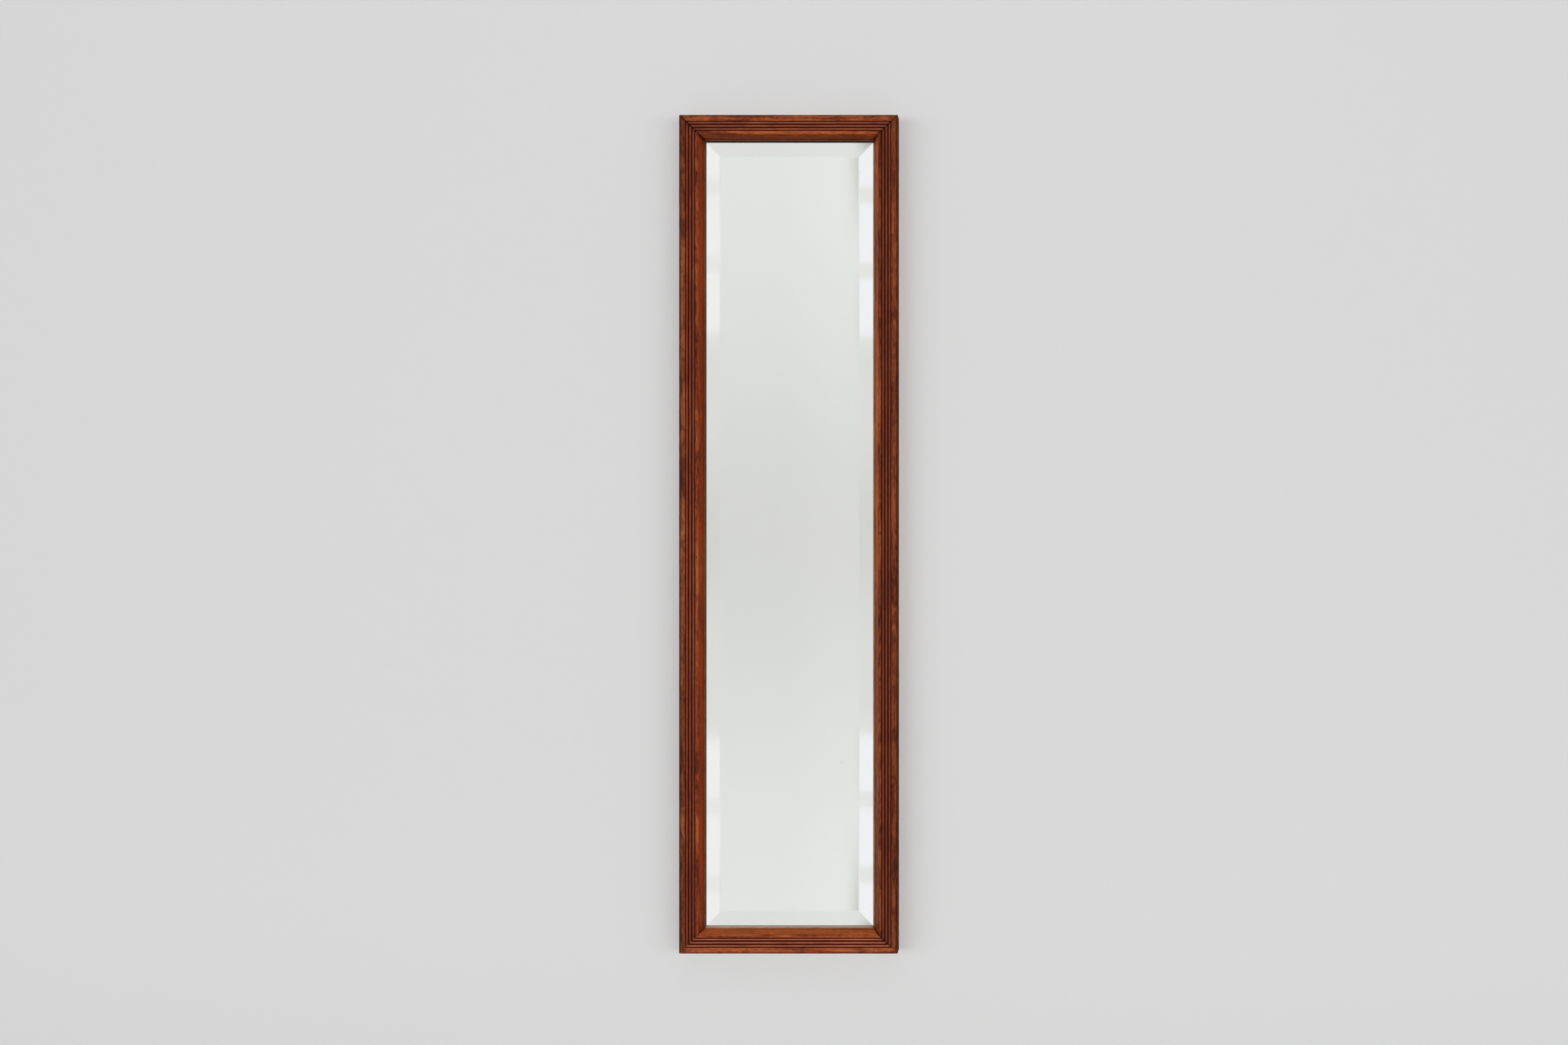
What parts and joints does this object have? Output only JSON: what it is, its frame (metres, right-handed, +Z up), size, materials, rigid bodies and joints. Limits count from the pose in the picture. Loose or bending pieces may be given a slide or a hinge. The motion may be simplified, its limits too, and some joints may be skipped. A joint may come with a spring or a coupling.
{
  "type": "pier mirror",
  "caption": "Tall, narrow wall mirror: a bevelled plate in a mitred, reeded oak frame with a closed back and hanging rings.",
  "frame": {"origin": "in the plane of the wall, midway between the two points where the wall hooks carry the rings", "axes": "+Z up along the stiles, +Y into the wall, so the glass faces -Y and +X is on the right as one looks into it"},
  "size_m": [0.37, 0.0427, 1.42],
  "materials": {
    "oak": "red-brown varnish, satin, worn at the edges, old dirt in the grooves",
    "pine": "bare, planed, darkened with age",
    "plate_glass": "clear polished glass with a ground and polished bevel",
    "silvering": "silver film on the back of the plate, grey backing paint behind",
    "steel": "dull bright steel, slightly tarnished"
  },
  "bodies": {
    "mirror": {"left_stile": "oak", "right_stile": "oak", "top_rail": "oak", "bottom_rail": "oak", "corner_key_top_left": "oak", "corner_key_top_right": "oak", "corner_key_bottom_left": "oak", "corner_key_bottom_right": "oak", "mirror_plate": "plate_glass", "silvering": "silvering", "wedge_block_left_1": "pine", "wedge_block_left_2": "pine", "wedge_block_left_3": "pine", "wedge_block_left_4": "pine", "wedge_block_right_1": "pine", "wedge_block_right_2": "pine", "wedge_block_right_3": "pine", "wedge_block_right_4": "pine", "wedge_block_top_1": "pine", "wedge_block_top_2": "pine", "wedge_block_bottom_1": "pine", "wedge_block_bottom_2": "pine", "backboard_upper": "pine", "backboard_middle": "pine", "backboard_lower": "pine", "brad_left_1": "steel", "brad_left_2": "steel", "brad_left_3": "steel", "brad_left_4": "steel", "brad_left_5": "steel", "brad_left_6": "steel", "brad_right_1": "steel", "brad_right_2": "steel", "brad_right_3": "steel", "brad_right_4": "steel", "brad_right_5": "steel", "brad_right_6": "steel", "brad_top_1": "steel", "brad_top_2": "steel", "brad_bottom_1": "steel", "brad_bottom_2": "steel", "hanger_strap_left": "steel", "hanger_strap_right": "steel", "hanger_screw_upper_left": "steel", "hanger_screw_lower_left": "steel", "hanger_screw_upper_right": "steel", "hanger_screw_lower_right": "steel"},
    "left_ring": {"hanger_ring_left": "steel"},
    "right_ring": {"hanger_ring_right": "steel"}
  },
  "joints": [
    {"name": "left_ring_swing", "type": "hinge", "parent": "mirror", "child": "left_ring", "pos_m": [-0.1679, -0.0028, -0.01597], "axis": [-1, 0, 0], "range_deg": [0, 180]},
    {"name": "right_ring_swing", "type": "hinge", "parent": "mirror", "child": "right_ring", "pos_m": [0.1679, -0.0028, -0.01597], "axis": [-1, 0, 0], "range_deg": [0, 180]}
  ]
}
